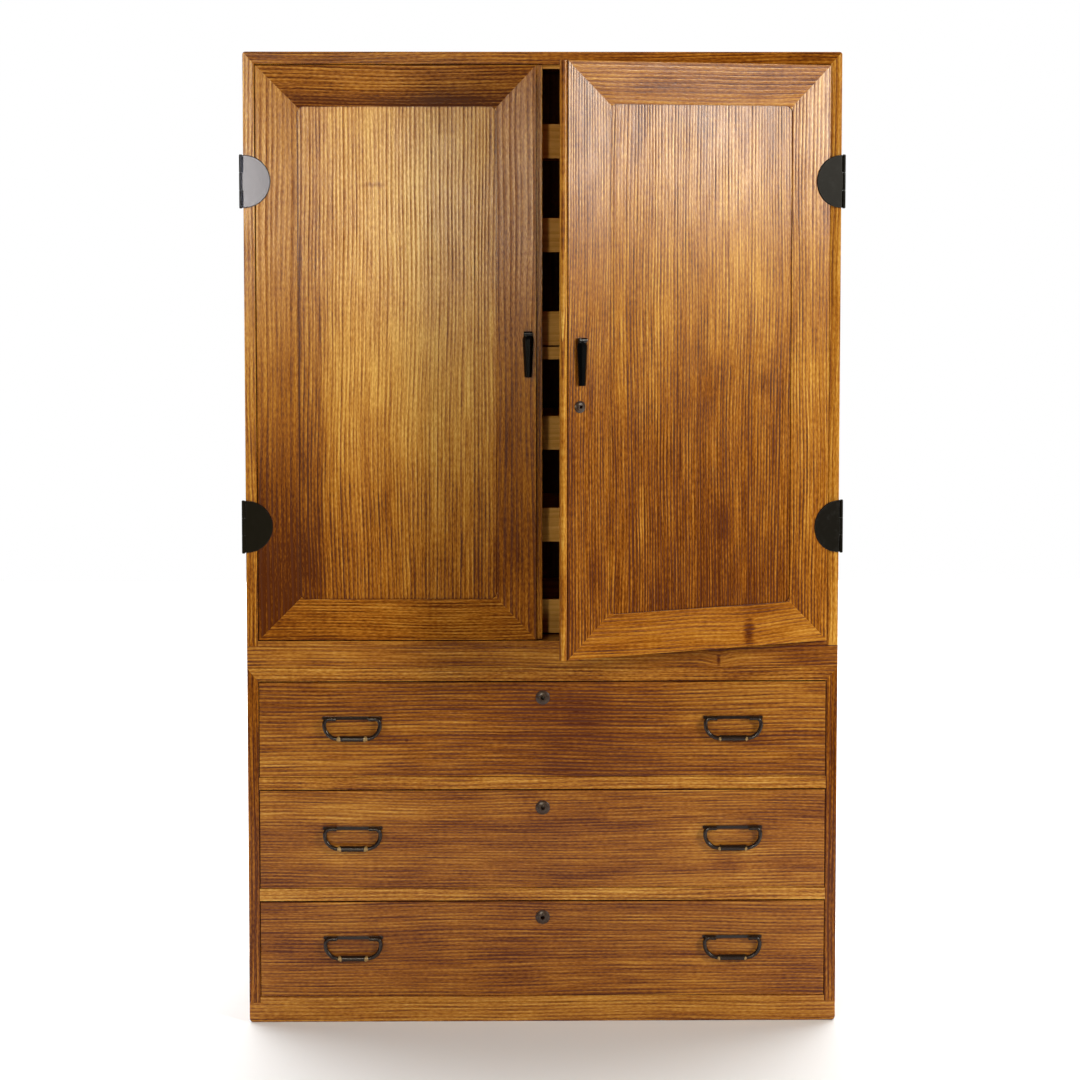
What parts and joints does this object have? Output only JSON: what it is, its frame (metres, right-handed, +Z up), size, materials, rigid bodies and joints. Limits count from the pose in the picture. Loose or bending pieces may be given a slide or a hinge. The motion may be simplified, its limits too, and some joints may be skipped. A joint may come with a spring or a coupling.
{
  "type": "clothing chest",
  "caption": "Stacking wooden clothing chest with framed hinged doors over sliding trays, and bail-handled drawers below; half-moon hinges, drop pulls and round key locks.",
  "frame": {"origin": "on the floor, under the middle of the lower case's width and depth", "axes": "+X to the right seen from the front, -Y out of the front, +Z up"},
  "size_m": [1.074, 0.6629, 1.746],
  "materials": {
    "lacquered_wood": "satin amber lacquer over straight raised grain",
    "pale_wood": "bare pale wood",
    "dark_iron": "blackened iron with worn edges",
    "bronze": "dark patinated bronze"
  },
  "bodies": {
    "lower_case": {"lower_base_rails": "lacquered_wood", "lower_base_bearers": "lacquered_wood", "lower_bottom_board": "lacquered_wood", "lower_sides": "lacquered_wood", "lower_top_board": "lacquered_wood", "lower_back_panel": "lacquered_wood", "drawer_dividers": "lacquered_wood"},
    "upper_case": {"upper_base_rails": "lacquered_wood", "upper_base_bearers": "lacquered_wood", "upper_bottom_board": "lacquered_wood", "upper_sides": "lacquered_wood", "upper_top_board": "lacquered_wood", "upper_back_panel": "lacquered_wood", "upper_mid_shelf": "pale_wood", "upper_battens": "pale_wood", "left_case_hinges": "dark_iron", "right_case_hinges": "dark_iron"},
    "left_door": {"left_door_stiles": "lacquered_wood", "left_door_rails": "lacquered_wood", "left_door_panel": "lacquered_wood", "left_door_hinges": "dark_iron", "left_pull_mount": "dark_iron", "left_door_strike": "bronze"},
    "right_door": {"right_door_stiles": "lacquered_wood", "right_door_rails": "lacquered_wood", "right_door_panel": "lacquered_wood", "right_door_hinges": "dark_iron", "right_pull_mount": "dark_iron", "right_door_lock": "bronze"},
    "left_pull": {"left_pull": "dark_iron"},
    "right_pull": {"right_pull": "dark_iron"},
    "right_door_bolt": {"right_door_lock_bolt": "dark_iron"},
    "tray_1": {"tray_1": "pale_wood"},
    "tray_2": {"tray_2": "pale_wood"},
    "tray_3": {"tray_3": "pale_wood"},
    "tray_4": {"tray_4": "pale_wood"},
    "tray_5": {"tray_5": "pale_wood"},
    "tray_6": {"tray_6": "pale_wood"},
    "drawer_1": {"drawer_1_front": "lacquered_wood", "drawer_1_box": "pale_wood", "drawer_1_handle_mounts": "dark_iron", "drawer_1_lock": "bronze"},
    "drawer_1_left_bail": {"drawer_1_left_bail": "dark_iron"},
    "drawer_1_right_bail": {"drawer_1_right_bail": "dark_iron"},
    "drawer_1_bolt": {"drawer_1_lock_bolt": "dark_iron"},
    "drawer_2": {"drawer_2_front": "lacquered_wood", "drawer_2_box": "pale_wood", "drawer_2_handle_mounts": "dark_iron", "drawer_2_lock": "bronze"},
    "drawer_2_left_bail": {"drawer_2_left_bail": "dark_iron"},
    "drawer_2_right_bail": {"drawer_2_right_bail": "dark_iron"},
    "drawer_2_bolt": {"drawer_2_lock_bolt": "dark_iron"},
    "drawer_3": {"drawer_3_front": "lacquered_wood", "drawer_3_box": "pale_wood", "drawer_3_handle_mounts": "dark_iron", "drawer_3_lock": "bronze"},
    "drawer_3_left_bail": {"drawer_3_left_bail": "dark_iron"},
    "drawer_3_right_bail": {"drawer_3_right_bail": "dark_iron"},
    "drawer_3_bolt": {"drawer_3_lock_bolt": "dark_iron"}
  },
  "joints": [
    {"name": "upper_case_lift", "type": "slide", "parent": "lower_case", "child": "upper_case", "axis": [0, 0, 1], "range_m": [0, 0.15]},
    {"name": "left_door_hinge", "type": "hinge", "parent": "upper_case", "child": "left_door", "pos_m": [-0.534, -0.2305, 1.21], "axis": [0, 0, -1], "range_deg": [0, 250]},
    {"name": "right_door_hinge", "type": "hinge", "parent": "upper_case", "child": "right_door", "pos_m": [0.534, -0.2305, 1.21], "axis": [0, 0, 1], "range_deg": [-22.4, 227.6]},
    {"name": "left_pull_hinge", "type": "hinge", "parent": "left_door", "child": "left_pull", "pos_m": [-0.02628, -0.23331, 1.248], "axis": [-0.9965, 0.083, 0], "range_deg": [0, 100]},
    {"name": "right_pull_hinge", "type": "hinge", "parent": "right_door", "child": "right_pull", "pos_m": [0.06536, -0.42608, 1.248], "axis": [-0.8954, -0.4453, 0], "range_deg": [0, 100]},
    {"name": "right_door_bolt_slide", "type": "slide", "parent": "right_door", "child": "right_door_bolt", "axis": [-0.9245, -0.3811, 0], "range_m": [0, 0.011]},
    {"name": "tray_1_slide", "type": "slide", "parent": "upper_case", "child": "tray_1", "axis": [0, -1, 0], "range_m": [0, 0.044]},
    {"name": "tray_2_slide", "type": "slide", "parent": "upper_case", "child": "tray_2", "axis": [0, -1, 0], "range_m": [0, 0.044]},
    {"name": "tray_3_slide", "type": "slide", "parent": "upper_case", "child": "tray_3", "axis": [0, -1, 0], "range_m": [0, 0.044]},
    {"name": "tray_4_slide", "type": "slide", "parent": "upper_case", "child": "tray_4", "axis": [0, -1, 0], "range_m": [0, 0.044]},
    {"name": "tray_5_slide", "type": "slide", "parent": "upper_case", "child": "tray_5", "axis": [0, -1, 0], "range_m": [0, 0.044]},
    {"name": "tray_6_slide", "type": "slide", "parent": "upper_case", "child": "tray_6", "axis": [0, -1, 0], "range_m": [0, 0.044]},
    {"name": "drawer_1_slide", "type": "slide", "parent": "lower_case", "child": "drawer_1", "axis": [0, -1, 0], "range_m": [0, 0.34]},
    {"name": "drawer_1_left_bail_hinge", "type": "hinge", "parent": "drawer_1", "child": "drawer_1_left_bail", "pos_m": [-0.342, -0.2365, 0.55625], "axis": [-1, 0, 0], "range_deg": [0, 95]},
    {"name": "drawer_1_right_bail_hinge", "type": "hinge", "parent": "drawer_1", "child": "drawer_1_right_bail", "pos_m": [0.342, -0.2365, 0.55625], "axis": [-1, 0, 0], "range_deg": [0, 95]},
    {"name": "drawer_1_bolt_slide", "type": "slide", "parent": "drawer_1", "child": "drawer_1_bolt", "axis": [0, 0, 1], "range_m": [0, 0.009]},
    {"name": "drawer_2_slide", "type": "slide", "parent": "lower_case", "child": "drawer_2", "axis": [0, -1, 0], "range_m": [0, 0.34]},
    {"name": "drawer_2_left_bail_hinge", "type": "hinge", "parent": "drawer_2", "child": "drawer_2_left_bail", "pos_m": [-0.342, -0.2365, 0.356], "axis": [-1, 0, 0], "range_deg": [0, 95]},
    {"name": "drawer_2_right_bail_hinge", "type": "hinge", "parent": "drawer_2", "child": "drawer_2_right_bail", "pos_m": [0.342, -0.2365, 0.356], "axis": [-1, 0, 0], "range_deg": [0, 95]},
    {"name": "drawer_2_bolt_slide", "type": "slide", "parent": "drawer_2", "child": "drawer_2_bolt", "axis": [0, 0, 1], "range_m": [0, 0.009]},
    {"name": "drawer_3_slide", "type": "slide", "parent": "lower_case", "child": "drawer_3", "axis": [0, -1, 0], "range_m": [0, 0.34]},
    {"name": "drawer_3_left_bail_hinge", "type": "hinge", "parent": "drawer_3", "child": "drawer_3_left_bail", "pos_m": [-0.342, -0.2365, 0.15525], "axis": [-1, 0, 0], "range_deg": [0, 95]},
    {"name": "drawer_3_right_bail_hinge", "type": "hinge", "parent": "drawer_3", "child": "drawer_3_right_bail", "pos_m": [0.342, -0.2365, 0.15525], "axis": [-1, 0, 0], "range_deg": [0, 95]},
    {"name": "drawer_3_bolt_slide", "type": "slide", "parent": "drawer_3", "child": "drawer_3_bolt", "axis": [0, 0, 1], "range_m": [0, 0.009]}
  ]
}
